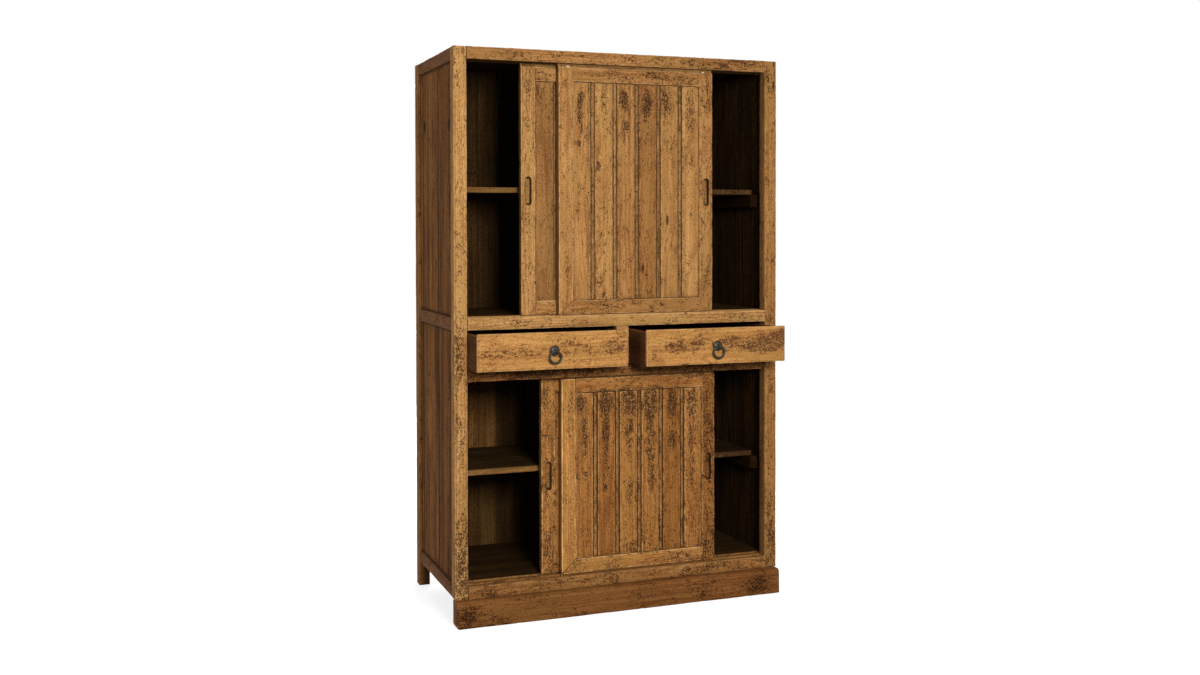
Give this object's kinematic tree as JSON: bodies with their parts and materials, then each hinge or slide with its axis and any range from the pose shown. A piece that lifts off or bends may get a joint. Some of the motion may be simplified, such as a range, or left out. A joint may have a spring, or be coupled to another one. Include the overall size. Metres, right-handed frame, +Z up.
{
  "type": "kitchen cabinet",
  "caption": "Tall wooden mizuya kitchen cabinet: sliding panelled doors above and below ring-pull drawers, shelves inside, framed plank sides and a projecting plinth beam.",
  "frame": {"origin": "floor level, in the middle of the width, on the line of the front posts' faces, which is on the plinth beam's underside", "axes": "+X to the right seen from the front, +Y from the front to the back, +Z up"},
  "size_m": [1.18, 0.7555, 1.9],
  "materials": {
    "frame_wood": "aged honey-brown softwood, waxed, worn arrises and dark pitting",
    "plank_wood": "aged honey-brown softwood planks with knots",
    "door_wood": "aged honey-brown softwood, waxed, with reddish-brown wear",
    "drawer_wood": "aged honey-brown softwood, waxed, with reddish-brown wear",
    "inner_wood": "dull unfinished softwood",
    "iron": "dark forged iron, satin"
  },
  "bodies": {
    "carcase": {"back_planks": "inner_wood", "drawer_deck_boards": "inner_wood", "drawer_divider": "frame_wood", "drawer_guides": "inner_wood", "floor_bearers": "inner_wood", "front_left_post": "frame_wood", "front_right_post": "frame_wood", "left_bottom_rail": "frame_wood", "left_side_planks": "plank_wood", "left_top_rail": "frame_wood", "left_waist_rail": "frame_wood", "lower_floor_boards": "inner_wood", "lower_shelf": "inner_wood", "lower_waist_rail": "frame_wood", "plinth_beam": "frame_wood", "rear_left_post": "frame_wood", "rear_rails": "frame_wood", "rear_right_post": "frame_wood", "right_bottom_rail": "frame_wood", "right_side_planks": "plank_wood", "right_top_rail": "frame_wood", "right_waist_rail": "frame_wood", "shelf_rails": "inner_wood", "sill_rail": "frame_wood", "top_boards": "plank_wood", "top_front_rail": "frame_wood", "upper_floor_boards": "inner_wood", "upper_shelf": "inner_wood", "upper_waist_rail": "frame_wood"},
    "upper_rear_door": {"upper_rear_door_bottom_rail": "door_wood", "upper_rear_door_panel": "door_wood", "upper_rear_door_plain_stile": "door_wood", "upper_rear_door_pull_stile": "door_wood", "upper_rear_door_top_rail": "door_wood"},
    "upper_front_door": {"upper_front_door_bottom_rail": "door_wood", "upper_front_door_panel": "door_wood", "upper_front_door_plain_stile": "door_wood", "upper_front_door_pull_stile": "door_wood", "upper_front_door_top_rail": "door_wood"},
    "lower_rear_door": {"lower_rear_door_bottom_rail": "door_wood", "lower_rear_door_panel": "door_wood", "lower_rear_door_plain_stile": "door_wood", "lower_rear_door_pull_stile": "door_wood", "lower_rear_door_top_rail": "door_wood"},
    "lower_front_door": {"lower_front_door_bottom_rail": "door_wood", "lower_front_door_panel": "door_wood", "lower_front_door_plain_stile": "door_wood", "lower_front_door_pull_stile": "door_wood", "lower_front_door_top_rail": "door_wood"},
    "left_drawer": {"left_drawer_boss": "iron", "left_drawer_bottom": "drawer_wood", "left_drawer_front": "drawer_wood", "left_drawer_walls": "drawer_wood"},
    "left_ring": {"left_drawer_ring": "iron"},
    "right_drawer": {"right_drawer_boss": "iron", "right_drawer_bottom": "drawer_wood", "right_drawer_front": "drawer_wood", "right_drawer_walls": "drawer_wood"},
    "right_ring": {"right_drawer_ring": "iron"}
  },
  "joints": [
    {"name": "upper_rear_door_slide", "type": "slide", "parent": "carcase", "child": "upper_rear_door", "axis": [1, 0, 0], "range_m": [-0.198, 0.321]},
    {"name": "upper_front_door_slide", "type": "slide", "parent": "carcase", "child": "upper_front_door", "axis": [1, 0, 0], "range_m": [-0.319, 0.2]},
    {"name": "lower_rear_door_slide", "type": "slide", "parent": "carcase", "child": "lower_rear_door", "axis": [1, 0, 0], "range_m": [-0.267, 0.252]},
    {"name": "lower_front_door_slide", "type": "slide", "parent": "carcase", "child": "lower_front_door", "axis": [1, 0, 0], "range_m": [-0.327, 0.192]},
    {"name": "left_drawer_slide", "type": "slide", "parent": "carcase", "child": "left_drawer", "axis": [0, -1, 0], "range_m": [-0.112, 0.268]},
    {"name": "right_drawer_slide", "type": "slide", "parent": "carcase", "child": "right_drawer", "axis": [0, -1, 0], "range_m": [-0.155, 0.225]},
    {"name": "left_ring_hinge", "type": "hinge", "parent": "left_drawer", "child": "left_ring", "pos_m": [-0.28325, -0.125, 0.90625], "axis": [-1, 0, 0], "range_deg": [-6, 100]},
    {"name": "right_ring_hinge", "type": "hinge", "parent": "right_drawer", "child": "right_ring", "pos_m": [0.28325, -0.168, 0.90625], "axis": [-1, 0, 0], "range_deg": [-6, 100]}
  ]
}
